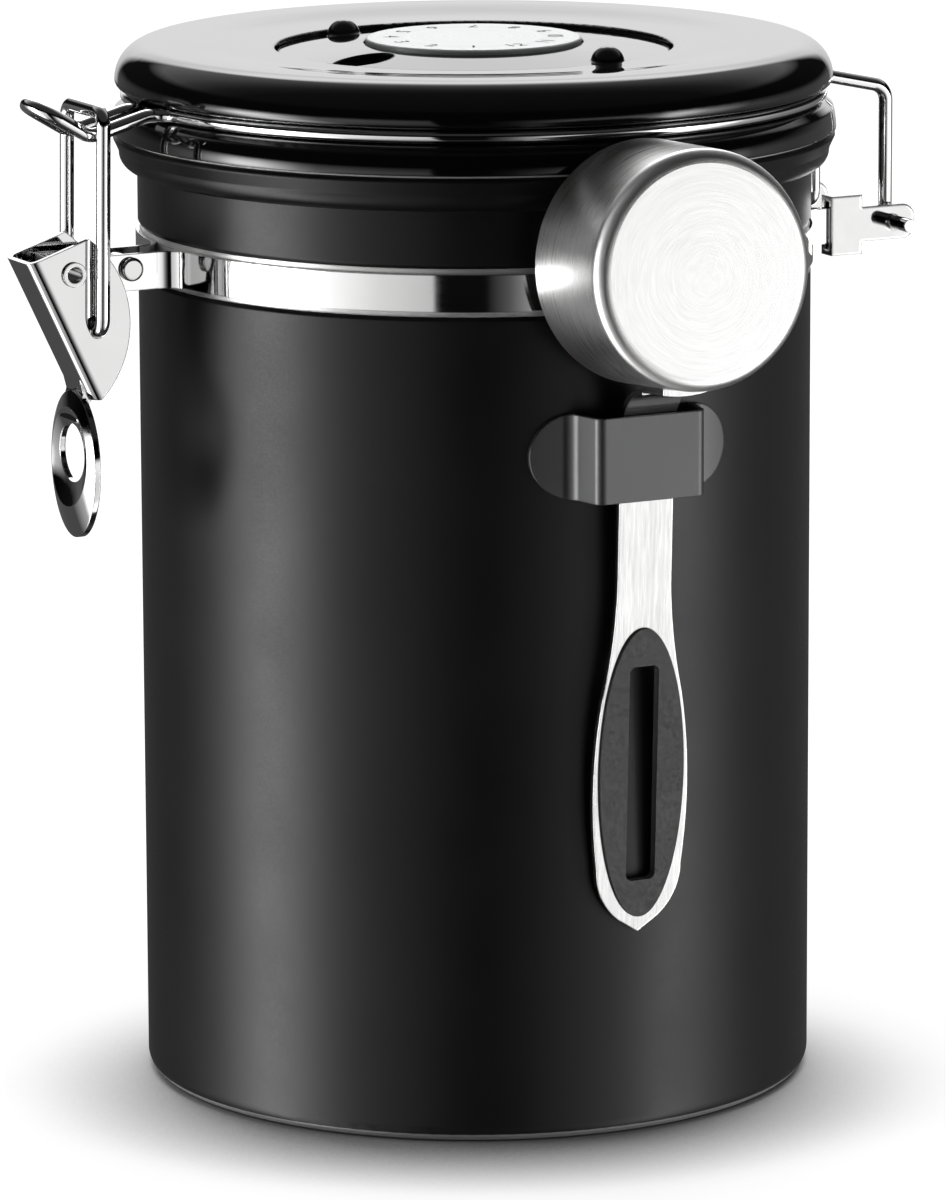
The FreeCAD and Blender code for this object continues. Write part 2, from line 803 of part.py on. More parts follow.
def valve_filter():
    """The filter disc under the valve's seat."""
    radius = valve_radius - filter_wall - seat_gap
    return Part.makeCylinder(radius, filter_sheet, V(0, 0, seat_base - seat_gap - filter_sheet))


def valve_disc():
    """The rubber disc that lifts off the seat to let gas out."""
    return Part.makeCylinder(disc_radius, disc_sheet, V(0, 0, disc_base))


def valve_cap():
    """The vented cap that keeps the disc in its chamber."""
    base = valve_top - cap_sheet
    plate = Part.makeCylinder(chamber_radius - seat_gap, cap_sheet, V(0, 0, base))
    stop = rod(cap_stop_radius, V(0, 0, disc_top + disc_lift), V(0, 0, valve_top))
    vents = holes_on_circle(cap_vent_radius, cap_vent_circle, cap_vent_count, base, valve_top)
    return plate.cut(vents).fuse(stop).removeSplitter()


def day_scale():
    """The thin printed disc on the recess floor, under the day ring."""
    inner = boss_radius + scale_inset
    outer = recess_radius - scale_inset
    return revolved(
        flat(inner, recess_floor),
        flat(outer, recess_floor),
        flat(outer, recess_floor + scale_sheet),
        flat(inner, recess_floor + scale_sheet),
    )


ring_base = recess_floor + scale_sheet + axial_gap
ring_radius = recess_radius - ring_gap
dial_pocket = dial_radius + dial_pocket_gap
dial_base = ring_base + ring_seat_height + axial_gap


def day_ring():
    """The ring that turns round the boss: sloped top, two finger nubs and a window onto the scale."""
    ring = revolved(
        flat(boss_radius + run_gap, ring_base),
        flat(ring_radius, ring_base),
        flat(ring_radius, ring_base + ring_edge_height),
        flat(dial_pocket, ring_base + ring_crown_height),
        flat(dial_pocket, ring_base + ring_seat_height),
        flat(boss_radius + run_gap, ring_base + ring_seat_height),
    )
    slope = (ring_crown_height - ring_edge_height) / (ring_radius - dial_pocket)
    nub_z = ring_base + ring_edge_height + slope * nub_inset - nub_sink
    nub_floor = ring_base + ring_edge_height / 2
    top = box(-ring_radius, ring_radius, -ring_radius, ring_radius, nub_floor, lid_top + nub_radius)
    for angle in (nub_angle, nub_angle + 180):
        turn = math.radians(angle)
        place = V(math.cos(turn), math.sin(turn), 0) * (ring_radius - nub_inset) + V(0, 0, nub_z)
        ring = ring.fuse(Part.makeSphere(nub_radius, place).common(top))
    hole = oval_face(window_length, window_width).extrude(V(0, 0, ring_crown_height + 2 * overrun))
    hole.translate(V(ring_radius - window_inset, 0, ring_base - overrun))
    hole.rotate(ORIGIN, Z_AXIS, window_angle)
    return ring.removeSplitter().cut(hole)


def month_dial():
    """The silver dial in the middle, with the hub that turns in the boss."""
    top = dial_base + dial_thickness
    hub = boss_radius - boss_wall - run_gap
    foot = floor_under - axial_gap - retainer_sheet - dial_hub_wall / 2
    return revolved(
        flat(0, top),
        flat(0, dial_base),
        flat(hub - dial_hub_wall, dial_base),
        flat(hub - dial_hub_wall, foot),
        flat(hub, foot),
        flat(hub, dial_base),
        flat(dial_radius, dial_base),
        flat(dial_radius, top - dial_round),
        around(dial_radius - dial_round, top - dial_round, dial_round, 0, 90),
    )


def dial_retainer():
    """The push-on washer that keeps the dial's hub in the boss."""
    inner = boss_radius - boss_wall - run_gap + seat_gap
    top = floor_under - axial_gap
    return revolved(
        flat(inner, top - retainer_sheet),
        flat(inner + retainer_width, top - retainer_sheet),
        flat(inner + retainer_width, top),
        flat(inner, top),
    )


def lever_point(shares):
    """A point of the lever's side outline, from its shares of the lever's depth and length."""
    return pivot + V(lever_depth * shares[0], 0, lever_length * shares[1])


def bow_radius(chord, rise):
    """The radius of an arc from its chord and its rise."""
    return (chord ** 2 / 4 + rise ** 2) / (2 * rise)


def oval_dome(crown_x, middle_z, sheet):
    """A domed oval of the tail's outline, its middle standing out from the canister."""
    across_radius = bow_radius(tail_width, tail_crown)
    along_radius = bow_radius(tail_length, tail_crown)
    inner = across_radius - sheet
    half = tail_width / 2 + overrun

    def on_rib(radius, y):
        return V(crown_x + across_radius - math.sqrt(radius ** 2 - y ** 2), y, middle_z)

    rib = face_of(on_rib(across_radius, -half), [
        (on_rib(across_radius, 0), on_rib(across_radius, half)),
        on_rib(inner, half),
        (on_rib(inner, 0), on_rib(inner, -half)),
    ])
    swing = math.degrees(math.asin((tail_length / 2 + overrun) / along_radius))
    centre = V(crown_x + along_radius, 0, middle_z)
    rib.rotate(centre, Y_AXIS, -swing)
    dome = rib.revolve(centre, Y_AXIS, 2 * swing)
    depth = tail_crown + sheet + overrun
    oval_prism = oval_face(tail_length, tail_width).extrude(V(0, 0, 2 * depth))
    oval_prism.rotate(ORIGIN, Y_AXIS, -90)
    return dome.common(oval_prism.translate(V(crown_x + depth, 0, middle_z)))


def lever_tail(crown_x, middle_z):
    """The lever's tail: a domed oval, dished round its finger hole."""
    dish_middle = V(crown_x + dish_depth - dish_curve, 0, middle_z + finger_hole_rise)
    dish_back = Part.makeSphere(dish_curve + tail_sheet, dish_middle)
    back = oval_dome(crown_x, middle_z, dish_depth + tail_sheet).common(dish_back)
    tail = oval_dome(crown_x, middle_z, tail_sheet).fuse(back).removeSplitter()
    tail = tail.cut(Part.makeSphere(dish_curve, dish_middle))
    hole = V(crown_x - tail_length, 0, dish_middle.z)
    return tail.cut(rod(finger_hole_radius, hole, hole + X_AXIS * 2 * tail_length))


def rounded_along(solid, direction, point, normal, radius):
    """A prism with its edges along a direction rounded where they lie in the plane through a point."""
    edges = []
    for edge in solid.Edges:
        ends = [vertex.Point for vertex in edge.Vertexes]
        run = ends[-1] - ends[0]
        near = near_share * run.Length
        if run.cross(direction).Length < near and abs((ends[0] - point).dot(normal)) < near:
            edges.append(edge)
    return solid.makeFillet(radius, edges)


def latch_lever():
    """The latch lever: a channel open towards the canister and a domed tail with a finger hole."""
    crown = lever_point(lever_crown_shares)
    toe = lever_point(lever_toe_shares)
    heel = lever_point(lever_heel_shares)
    half = lever_width / 2
    side = face_of(crown, [
        lever_point(lever_corner_shares),
        (lever_point(lever_belly_shares), heel),
        toe,
    ])
    along = (toe - crown).normalize()
    inward = V(-along.z, 0, along.x)
    channel = side.extrude(V(0, lever_width, 0)).translate(V(0, -half, 0))
    channel = rounded_along(channel, along, crown, inward, lever_bend)
    web_in = crown + inward * lever_sheet - along * lever_depth
    web_out = toe + inward * lever_sheet + along * lever_depth
    reach = inward * (2 * lever_depth)
    hollow = face_of(web_in, [web_out, web_out + reach, web_in + reach])
    hollow = hollow.extrude(V(0, 2 * cheek_inner, 0)).translate(V(0, -cheek_inner, 0))
    channel = channel.cut(rounded_along(hollow, along, web_in, inward, lever_bend - lever_sheet))

    tail_z = toe.z + tail_overlap - tail_length / 2
    tail_x = toe.x - tail_set_out
    tail = lever_tail(tail_x, tail_z)
    neck_top = toe - along * tail_neck_length / 2
    neck_low = toe.z - tail_neck_length / 2
    bow = bow_radius(tail_length, tail_crown)
    low_x = tail_x + bow - math.sqrt(bow ** 2 - (neck_low - tail_z) ** 2)
    neck = face_of(neck_top, [
        neck_top + inward * lever_sheet,
        toe + inward * lever_sheet,
        flat(low_x + tail_sheet, neck_low),
        flat(low_x + tail_sheet / 2, neck_low),
        flat(tail_x + tail_crown + tail_sheet / 2, tail_z + tail_length / 2),
    ]).extrude(V(0, tail_neck_width, 0)).translate(V(0, -tail_neck_width / 2, 0))
    lever = channel.fuse([tail, neck]).removeSplitter()
    across = V(0, lever_width, 0)
    lever = lever.cut(rod(lever_rivet_radius + run_gap, pivot - across, pivot + across))
    return lever.cut(rod(wire_radius + run_gap, link_pin - across, link_pin + across))


def latch_link():
    """The wire link: two legs from the lever's side holes up to the bar over the bail's nose."""
    pin_end = cheek_inner - link_pin_inset
    points = [
        V(link_pin.x, -pin_end, link_pin.z),
        V(link_pin.x, -link_spread, link_pin.z),
        V(bar_x, -link_spread, bar_z),
        V(bar_x, link_spread, bar_z),
        V(link_pin.x, link_spread, link_pin.z),
        V(link_pin.x, pin_end, link_pin.z),
    ]
    return swept_wire(bent_edges(points, [link_bend] * 4), points[0], Y_AXIS)


def cup_radius_at(y):
    """The cup's outer radius at a distance along its axis, before the cup is tilted."""
    return cup_mouth_radius - cup_taper * (cup_mouth_y - y)


def tilted(shape):
    """A shape drawn on the level cup, tilted with the cup about the middle of its mouth."""
    shape.rotate(cup_mouth, X_AXIS, -cup_tilt)
    return shape


def leaned(shape):
    """A shape drawn on the upright handle, its front at y = 0 and its top at z = 0, put in its place."""
    shape.rotate(ORIGIN, X_AXIS, math.degrees(lean))
    return shape.translate(bend_start)


def scoop_cup():
    """The scoop's steel cup, mouth towards the canister."""
    base_in = cup_base_y + cup_wall
    corner = cup_base_y + cup_corner
    side = cup_radius_at(corner)
    inner_corner = cup_corner - cup_wall
    return tilted(turned_about_y(
        cup_shift, scoop_z,
        flat(0, cup_base_y),
        flat(side - cup_corner, cup_base_y),
        around(side - cup_corner, corner, cup_corner, -90, 0),
        flat(cup_mouth_radius, cup_mouth_y),
        flat(cup_mouth_radius - cup_wall, cup_mouth_y),
        flat(side - cup_wall, corner),
        around(side - cup_corner, corner, inner_corner, 0, -90),
        flat(0, base_in),
    ))


def blade_point(shares):
    """A point of the handle's blade, from its shares of the half width and the length."""
    return flat(blade_width / 2 * shares[0], -neck_length - blade_length * shares[1])


def other_side(point):
    """The same point on the other side of the YZ plane."""
    return V(-point.x, point.y, point.z)


def grip_prism(margin, front, back):
    """The grip's upright oval, grown by a margin and raised along Y from its front to its back."""
    prism = oval_face(grip_width + 2 * margin, grip_length + 2 * margin).extrude(V(0, 0, back - front))
    prism.rotate(ORIGIN, X_AXIS, -90)
    return prism.translate(V(0, front, grip_z))


def handle_strip():
    """The handle's flat part: a narrow neck and a leaf-shaped blade with the grip's opening."""
    neck_top = flat(neck_width / 2, 0)
    neck_end = flat(neck_width / 2, -neck_length)
    flare, belly = blade_point(blade_flare_shares), blade_point(blade_belly_shares)
    flare_mid, chin = blade_point(blade_flare_mid_shares), blade_point(blade_chin_shares)
    chin_mid, point = blade_point(blade_chin_mid_shares), blade_point(blade_point_shares)
    strip = face_of(other_side(neck_top), [
        neck_top,
        neck_end,
        (flare_mid, flare),
        (belly, chin),
        (chin_mid, point),
        flat(0, -neck_length - blade_length),
        other_side(point),
        (other_side(chin_mid), other_side(chin)),
        (other_side(belly), other_side(flare)),
        (other_side(flare_mid), other_side(neck_end)),
    ]).extrude(V(0, handle_sheet, 0))
    return strip.cut(grip_prism(seat_gap, -overrun, handle_sheet + overrun))


def handle_saddle():
    """The end of the handle that is welded along the underside of the cup."""
    half = neck_width / 2
    bend_out = cup_mouth_y - (cup_mouth - bend_end).dot(V(0, math.cos(tilt), -math.sin(tilt)))
    start = bend_out + handle_sheet / 2
    end = bend_out - saddle_length
    start_radius = cup_radius_at(start) + seat_gap
    end_radius = cup_radius_at(end) + seat_gap
    saddle = turned_about_y(
        cup_shift, scoop_z,
        flat(end_radius, end),
        flat(start_radius, start),
        flat(start_radius + handle_sheet, start),
        flat(end_radius + handle_sheet, end),
    )
    return tilted(saddle.common(box(-half, half, end, start, scoop_z - 2 * cup_mouth_radius, scoop_z)))


def scoop_handle():
    """The scoop's handle: a strip bent under the cup and welded to it."""
    half = neck_width / 2
    corners = [V(-half, 0, 0), V(half, 0, 0), V(half, handle_sheet, 0), V(-half, handle_sheet, 0)]
    section = leaned(Part.Face(Part.makePolygon(corners + corners[:1])))
    bend = section.revolve(bend_centre, X_AXIS, 90 - math.degrees(lean + wall_angle))
    return leaned(handle_strip()).fuse([bend, handle_saddle()]).removeSplitter()


def scoop_grip():
    """The rubber grip in the handle's opening, with a slot through it."""
    front = -grip_proud
    back = handle_sheet - grip_sink
    half_width = slot_width / 2
    half_length = slot_length / 2
    turn = slot_round
    slot = face_of(flat(-half_width + turn, grip_z - half_length), [
        flat(half_width - turn, grip_z - half_length),
        around(half_width - turn, grip_z - half_length + turn, turn, -90, 0),
        flat(half_width, grip_z + half_length - turn),
        around(half_width - turn, grip_z + half_length - turn, turn, 0, 90),
        flat(-half_width + turn, grip_z + half_length),
        around(-half_width + turn, grip_z + half_length - turn, turn, 90, 180),
        flat(-half_width, grip_z - half_length + turn),
        around(-half_width + turn, grip_z - half_length + turn, turn, 180, 270),
    ]).extrude(V(0, back - front + 2 * overrun, 0)).translate(V(0, front - overrun, 0))
    return leaned(grip_prism(0, front, back).cut(slot))


def main():
    os.makedirs("parts", exist_ok=True)
    ear = hinge_ear()
    pieces = {
        "canister_body": canister_body(),
        "strap_band": strap_band(),
        "strap_rivet": strap_rivet(),
        "lever_rivet": lever_rivet(),
        "hinge_ear_front": ear,
        "hinge_ear_rear": mirrored(ear),
        "scoop_holder": scoop_holder(),
        "bail_wire": bail_wire(),
        "lid_shell": lid_shell(),
        "lid_gasket": lid_gasket(),
        "lid_liner": lid_liner(),
        "valve_body": valve_body(),
        "valve_filter": valve_filter(),
        "valve_disc": valve_disc(),
        "valve_cap": valve_cap(),
        "day_scale": day_scale(),
        "day_ring": day_ring(),
        "month_dial": month_dial(),
        "dial_retainer": dial_retainer(),
        "latch_lever": latch_lever(),
        "latch_link": latch_link(),
        "scoop_cup": scoop_cup(),
        "scoop_handle": scoop_handle(),
        "scoop_grip": scoop_grip(),
    }
    for name, shape in pieces.items():
        shape.exportStep(os.path.join("parts", name + ".step"))
        print(name, len(shape.Solids), shape.isValid(), round(shape.Volume, 1))


main()
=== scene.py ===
import bpy
import math
from mathutils import Matrix, Vector


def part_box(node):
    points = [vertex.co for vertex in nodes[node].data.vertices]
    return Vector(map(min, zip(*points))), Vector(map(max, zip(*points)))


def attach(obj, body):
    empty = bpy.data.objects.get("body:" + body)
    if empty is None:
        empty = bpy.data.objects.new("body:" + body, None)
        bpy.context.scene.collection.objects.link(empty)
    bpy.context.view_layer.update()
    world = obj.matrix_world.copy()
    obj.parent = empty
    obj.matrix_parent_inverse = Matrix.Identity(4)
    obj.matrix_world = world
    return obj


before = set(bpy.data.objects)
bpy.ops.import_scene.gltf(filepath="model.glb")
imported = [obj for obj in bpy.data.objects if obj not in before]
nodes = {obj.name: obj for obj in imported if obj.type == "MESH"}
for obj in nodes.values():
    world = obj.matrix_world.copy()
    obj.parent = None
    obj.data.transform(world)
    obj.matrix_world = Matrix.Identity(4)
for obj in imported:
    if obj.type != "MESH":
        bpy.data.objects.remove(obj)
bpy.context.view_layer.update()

# Sizes of the object that the looks depend on, in metres
BODY_RADIUS = 0.060
BODY_WALL = 0.0008
DAY_SCALE_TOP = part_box("day_scale")[1].z
DIAL_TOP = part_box("month_dial")[1].z

# Printed numbers: rings they stand on, heights and where the first one is
INK_THICKNESS = 0.00002
MONTHS = 12
MONTH_RADIUS = 0.0147
MONTH_HEIGHT = 0.0040
MONTH_START = math.radians(-117.0)
DAYS = 31
DAY_RADIUS = 0.0273
DAY_HEIGHT = 0.0030
DAY_START = math.radians(-162.0)

# Camera of the photograph
IMAGE_HEIGHT = 1200
FOCAL_PIXELS = 7241.2
SENSOR = 36.0
CAMERA_DISTANCE = 1.2793
CAMERA_HEIGHT = 0.34575
CAMERA_AZIMUTH = math.radians(-27.0)
CAMERA_PITCH = 0.2013
CAMERA_YAW = -0.0004
CAMERA_ROLL = -0.0042


class Tree:
    """A node tree with short calls for the nodes that the materials use."""

    def __init__(self, tree):
        self.tree = tree

    def add(self, kind, **settings):
        node = self.tree.nodes.new(kind)
        for name, value in settings.items():
            setattr(node, name, value)
        return node

    def put(self, socket, value):
        if isinstance(value, bpy.types.NodeSocket):
            self.tree.links.new(value, socket)
        else:
            socket.default_value = value

    def math(self, operation, first, second=0.0):
        node = self.add("ShaderNodeMath", operation=operation)
        self.put(node.inputs[0], first)
        self.put(node.inputs[1], second)
        return node.outputs[0]

    def object_place(self):
        return self.add("ShaderNodeTexCoord").outputs["Object"]

    def parts_of(self, vector):
        node = self.add("ShaderNodeSeparateXYZ")
        self.put(node.inputs[0], vector)
        return node.outputs

    def vector(self, x, y, z):
        node = self.add("ShaderNodeCombineXYZ")
        for socket, value in zip(node.inputs, (x, y, z)):
            self.put(socket, value)
        return node.outputs[0]

    def stretched(self, vector, scale):
        node = self.add("ShaderNodeVectorMath", operation="MULTIPLY")
        self.put(node.inputs[0], vector)
        node.inputs[1].default_value = scale
        return node.outputs[0]

    def noise(self, vector, scale, detail=3.0, rough=0.55):
        node = self.add("ShaderNodeTexNoise")
        self.put(node.inputs["Vector"], vector)
        node.inputs["Scale"].default_value = scale
        node.inputs["Detail"].default_value = detail
        node.inputs["Roughness"].default_value = rough
        return node.outputs["Fac"]

    def ranged(self, value, low, high, new_low, new_high):
        node = self.add("ShaderNodeMapRange")
        self.put(node.inputs["Value"], value)
        names = ("From Min", "From Max", "To Min", "To Max")
        for name, number in zip(names, (low, high, new_low, new_high)):
            self.put(node.inputs[name], number)
        return node.outputs["Result"]

    def mixed(self, factor, first, second):
        node = self.add("ShaderNodeMix", data_type="RGBA")
        self.put(node.inputs["Factor"], factor)
        self.put(node.inputs["A"], first)
        self.put(node.inputs["B"], second)
        return node.outputs["Result"]

    def blended(self, factor, first, second):
        node = self.add("ShaderNodeMix", data_type="FLOAT")
        self.put(node.inputs["Factor"], factor)
        self.put(node.inputs["A"], first)
        self.put(node.inputs["B"], second)
        return node.outputs["Result"]

    def stepped(self, value, levels):
        """A level for each place from 0 to 1, straight between the given places."""
        ramp = self.add("ShaderNodeValToRGB")
        self.put(ramp.inputs["Fac"], value)
        stops = ramp.color_ramp.elements
        while len(stops) < len(levels):
            stops.new(0.5)
        top = max(level for place, level in levels)
        for stop, (place, level) in zip(stops, levels):
            stop.position = place
            stop.color = (level / top, level / top, level / top, 1.0)
        return self.math("MULTIPLY", ramp.outputs["Color"], top)

    def rounded(self, radius):
        node = self.add("ShaderNodeBevel", samples=6)
        node.inputs["Radius"].default_value = radius
        return node.outputs["Normal"]

    def bump(self, height, strength, depth, under=None):
        node = self.add("ShaderNodeBump")
        node.inputs["Strength"].default_value = strength
        node.inputs["Distance"].default_value = depth
        self.put(node.inputs["Height"], height)
        if under is not None:
            self.put(node.inputs["Normal"], under)
        return node.outputs["Normal"]


def grey(level, warmth=0.0):
    return (level * (1 + warmth), level, level * (1 - warmth), 1.0)


def new_material(name):
    material = bpy.data.materials.new(name)
    material.use_nodes = True
    tree = Tree(material.node_tree)
    shader = material.node_tree.nodes["Principled BSDF"]
    return material, tree, shader


def lathe_place(t, place):
    """Radius from the Z axis, and height, of a point of a turned piece."""
    x, y, z = t.parts_of(place)[:3]
    radius = t.math("SQRT", t.math("ADD", t.math("MULTIPLY", x, x), t.math("MULTIPLY", y, y)))
    return radius, z


def powder_coat(name, dark, pale, rough_low, rough_high, shine, steel_inside=False):
    """Matte powder coat: fine orange peel, faint clouding; if asked, bare brushed steel inside the can."""
    material, t, shader = new_material(name)
    place = t.object_place()
    cloud = t.noise(place, 45.0, 4.0)
    grain = t.noise(place, 2400.0, 3.0, 0.6)
    peel = t.noise(place, 700.0, 2.0, 0.5)
    colour = t.mixed(t.ranged(cloud, 0.3, 0.7, 0.0, 1.0), grey(dark), grey(pale, -0.03))
    rough = t.ranged(t.math("ADD", t.math("MULTIPLY", cloud, 0.5), t.math("MULTIPLY", grain, 0.5)),
                     0.35, 0.65, rough_low, rough_high)
    normal = t.bump(grain, 0.10, 0.00003, t.bump(peel, 0.10, 0.00006, t.rounded(0.0004)))
    shader.inputs["Specular IOR Level"].default_value = shine
    if steel_inside:
        radius, z = lathe_place(t, place)
        inside = t.math("MULTIPLY", t.math("LESS_THAN", radius, BODY_RADIUS - BODY_WALL / 2),
                        t.math("GREATER_THAN", z, BODY_WALL / 2))
        lines = t.vector(t.math("MULTIPLY", z, 9000.0), t.math("MULTIPLY", radius, 9000.0), 0.0)
        turned = t.noise(lines, 1.0, 2.0)
        colour = t.mixed(inside, colour, t.mixed(turned, grey(0.50), grey(0.62, 0.01)))
        rough = t.blended(inside, rough, t.ranged(turned, 0.3, 0.7, 0.24, 0.36))
        t.put(shader.inputs["Metallic"], t.math("MULTIPLY", inside, 0.5))
    t.put(shader.inputs["Base Color"], colour)
    t.put(shader.inputs["Roughness"], rough)
    t.put(shader.inputs["Normal"], normal)
    return material


def plated(name, level, rough_low, rough_high, line_scale, edge=0.0003):
    """Bright plating: faint polishing lines, slight waviness and patches of haze."""
    material, t, shader = new_material(name)
    place = t.object_place()
    haze = t.noise(place, 140.0, 4.0)
    lines = t.noise(t.stretched(place, line_scale), 1.0, 2.0)
    wave = t.noise(place, 160.0, 1.0)
    t.put(shader.inputs["Base Color"], t.mixed(haze, grey(level * 0.93), grey(level, 0.004)))
    rough = t.ranged(t.math("MULTIPLY", haze, lines), 0.1, 0.4, rough_low, rough_high)
    t.put(shader.inputs["Roughness"], rough)
    waved = t.bump(wave, 0.04, 0.00008, t.rounded(edge))
    t.put(shader.inputs["Normal"], t.bump(lines, 0.03, 0.00001, waved))
    shader.inputs["Metallic"].default_value = 1.0
    return material


def gloss_moulding(name, level):
    """Gloss black moulding: long waviness, a trace of dust and hairlines in the polish."""
    material, t, shader = new_material(name)
    place = t.object_place()
    wave = t.noise(place, 38.0, 1.0)
    dust = t.noise(place, 900.0, 5.0, 0.7)
    hair = t.noise(t.stretched(place, (2500.0, 160.0, 900.0)), 1.0, 2.0)
    marks = t.math("ADD", t.ranged(dust, 0.62, 0.8, 0.0, 0.6), t.ranged(hair, 0.66, 0.8, 0.0, 0.4))
    dusty = t.math("MULTIPLY", marks, 0.2)
    t.put(shader.inputs["Base Color"], t.mixed(dusty, grey(level), grey(level * 4)))
    t.put(shader.inputs["Roughness"], t.ranged(marks, 0.0, 1.0, 0.03, 0.16))
    t.put(shader.inputs["Normal"], t.bump(wave, 0.05, 0.0002, t.rounded(0.0007)))
    shader.inputs["IOR"].default_value = 1.52
    return material


def satin_moulding(name, low, high, rough):
    """Satin moulding with a fine spark-eroded grain."""
    material, t, shader = new_material(name)
    place = t.object_place()
    grain = t.noise(place, 1800.0, 4.0)
    cloud = t.noise(place, 60.0, 2.0)
    t.put(shader.inputs["Base Color"], t.mixed(cloud, low, high))
    t.put(shader.inputs["Roughness"], t.ranged(grain, 0.3, 0.7, rough - 0.08, rough + 0.08))
    t.put(shader.inputs["Normal"], t.bump(grain, 0.15, 0.00004))
    return material


def brushed_steel(name, scale, rough_low, rough_high, level):
    """Brushed stainless steel: long scratches of several depths along the grain."""
    material, t, shader = new_material(name)
    place = t.object_place()
    fine = t.noise(t.stretched(place, scale), 1.0, 3.0, 0.6)
    coarse = t.noise(t.stretched(place, tuple(value * 0.3 for value in scale)), 1.0, 2.0)
    cloud = t.noise(place, 70.0, 3.0)
    brush = t.math("ADD", t.math("MULTIPLY", fine, 0.6), t.math("MULTIPLY", coarse, 0.4))
    worn = t.math("ADD", t.math("MULTIPLY", brush, 0.7), t.math("MULTIPLY", cloud, 0.3))
    tone = t.ranged(brush, 0.3, 0.7, 0.0, 1.0)
    t.put(shader.inputs["Base Color"], t.mixed(tone, grey(level * 0.9), grey(level * 1.1, 0.006)))
    t.put(shader.inputs["Roughness"], t.ranged(worn, 0.35, 0.65, rough_low, rough_high))
    t.put(shader.inputs["Normal"], t.bump(brush, 0.08, 0.00002, t.rounded(0.0003)))
    shader.inputs["Metallic"].default_value = 1.0
    return material


def turned_steel(name, low, high, level):
    """Stainless steel brushed round the cup's axis, with a plainer satin on the flat base, whose tone is set
    darker than the wall's as painted shade that tones down its highlight.
    """
    material, t, shader = new_material(name)
    place = t.object_place()
    middle = t.add("ShaderNodeVectorMath", operation="SUBTRACT")
    t.put(middle.inputs[0], place)
    middle.inputs[1].default_value = (low + high) / 2
    x, y, z = t.parts_of(middle.outputs[0])[:3]
    radius = t.math("SQRT", t.math("ADD", t.math("MULTIPLY", x, x), t.math("MULTIPLY", z, z)))
    facing = t.math("ABSOLUTE", t.parts_of(t.add("ShaderNodeTexCoord").outputs["Normal"])[1])
    side = t.ranged(facing, 0.86, 0.995, 1.0, 0.0)
    angle = t.math("ARCTAN2", x, z)
    fine_place = t.vector(t.math("MULTIPLY", radius, 5000.0), t.math("MULTIPLY", y, 6000.0),
                          t.math("MULTIPLY", angle, 1.5))
    fine = t.noise(fine_place, 1.0, 3.0, 0.6)
    coarse_place = t.vector(t.math("MULTIPLY", radius, 1500.0), t.math("MULTIPLY", y, 1800.0), angle)
    coarse = t.noise(coarse_place, 1.0, 2.0)
    brush = t.math("ADD", t.math("MULTIPLY", fine, 0.78), t.math("MULTIPLY", coarse, 0.22))
    tone = t.ranged(brush, 0.3, 0.7, 0.0, 1.0)
    wall = t.mixed(tone, grey(level * 0.97), grey(level * 1.03, 0.006))
    # Tone of the flat base, darker than the wall's: painted shade that tones down the highlight the base
    # catches
    base = t.mixed(tone, grey(level * 0.84), grey(level * 0.95, 0.006))
    t.put(shader.inputs["Base Color"], t.mixed(side, base, wall))
    corner = t.math("MULTIPLY", t.ranged(facing, 0.15, 0.5, 0.0, 1.0),
                    t.ranged(facing, 0.975, 0.999, 1.0, 0.0))
    rough = t.blended(side, t.ranged(brush, 0.3, 0.7, 0.13, 0.19),
                      t.ranged(brush, 0.3, 0.7, 0.24, 0.36))
    t.put(shader.inputs["Roughness"], t.math("ADD", rough, t.math("MULTIPLY", corner, 0.16)))
    t.put(shader.inputs["Normal"], t.bump(brush, 0.06, 0.000015))
    t.put(shader.inputs["Anisotropic"], t.math("MULTIPLY", side, 0.7))
    tangent = t.add("ShaderNodeTangent", direction_type="RADIAL", axis="Y")
    t.put(shader.inputs["Tangent"], tangent.outputs[0])
    shader.inputs["Metallic"].default_value = 1.0
    return material


def silver_paint(name):
    """Satin silver dial with very fine turned lines."""
    material, t, shader = new_material(name)
    place = t.object_place()
    radius, z = lathe_place(t, place)
    lines = t.vector(t.math("MULTIPLY", radius, 7000.0), t.math("MULTIPLY", z, 7000.0), 0.0)
    turned = t.noise(lines, 1.0, 2.0)
    flake = t.noise(place, 3000.0, 2.0)
    t.put(shader.inputs["Base Color"], t.mixed(flake, grey(0.34, -0.01), grey(0.42, -0.01)))
    t.put(shader.inputs["Roughness"], t.ranged(turned, 0.3, 0.7, 0.30, 0.44))
    t.put(shader.inputs["Normal"], t.bump(turned, 0.08, 0.00002))
    shader.inputs["Metallic"].default_value = 0.75
    return material


def soft_rubber(name, low, high, rough, grain_scale):
    """Matt rubber with a leathery grain and a little bloom."""
    material, t, shader = new_material(name)
    place = t.object_place()
    grain = t.noise(place, grain_scale, 4.0, 0.6)
    bloom = t.noise(place, 120.0, 3.0)
    t.put(shader.inputs["Base Color"], t.mixed(t.ranged(bloom, 0.3, 0.7, 0.0, 1.0), low, high))
    t.put(shader.inputs["Roughness"], t.ranged(grain, 0.3, 0.7, rough - 0.1, rough + 0.1))
    t.put(shader.inputs["Normal"], t.bump(grain, 0.25, 0.00005))
    return material


def felt(name):
    """White filter felt with matted fibres."""
    material, t, shader = new_material(name)
    place = t.object_place()
    fibre = t.noise(t.stretched(place, (2600.0, 700.0, 1500.0)), 1.0, 5.0, 0.7)
    t.put(shader.inputs["Base Color"], t.mixed(fibre, grey(0.66, 0.02), grey(0.84, 0.02)))
    t.put(shader.inputs["Normal"], t.bump(fibre, 0.5, 0.0002))
    shader.inputs["Roughness"].default_value = 0.95
    shader.inputs["Sheen Weight"].default_value = 0.3
    return material


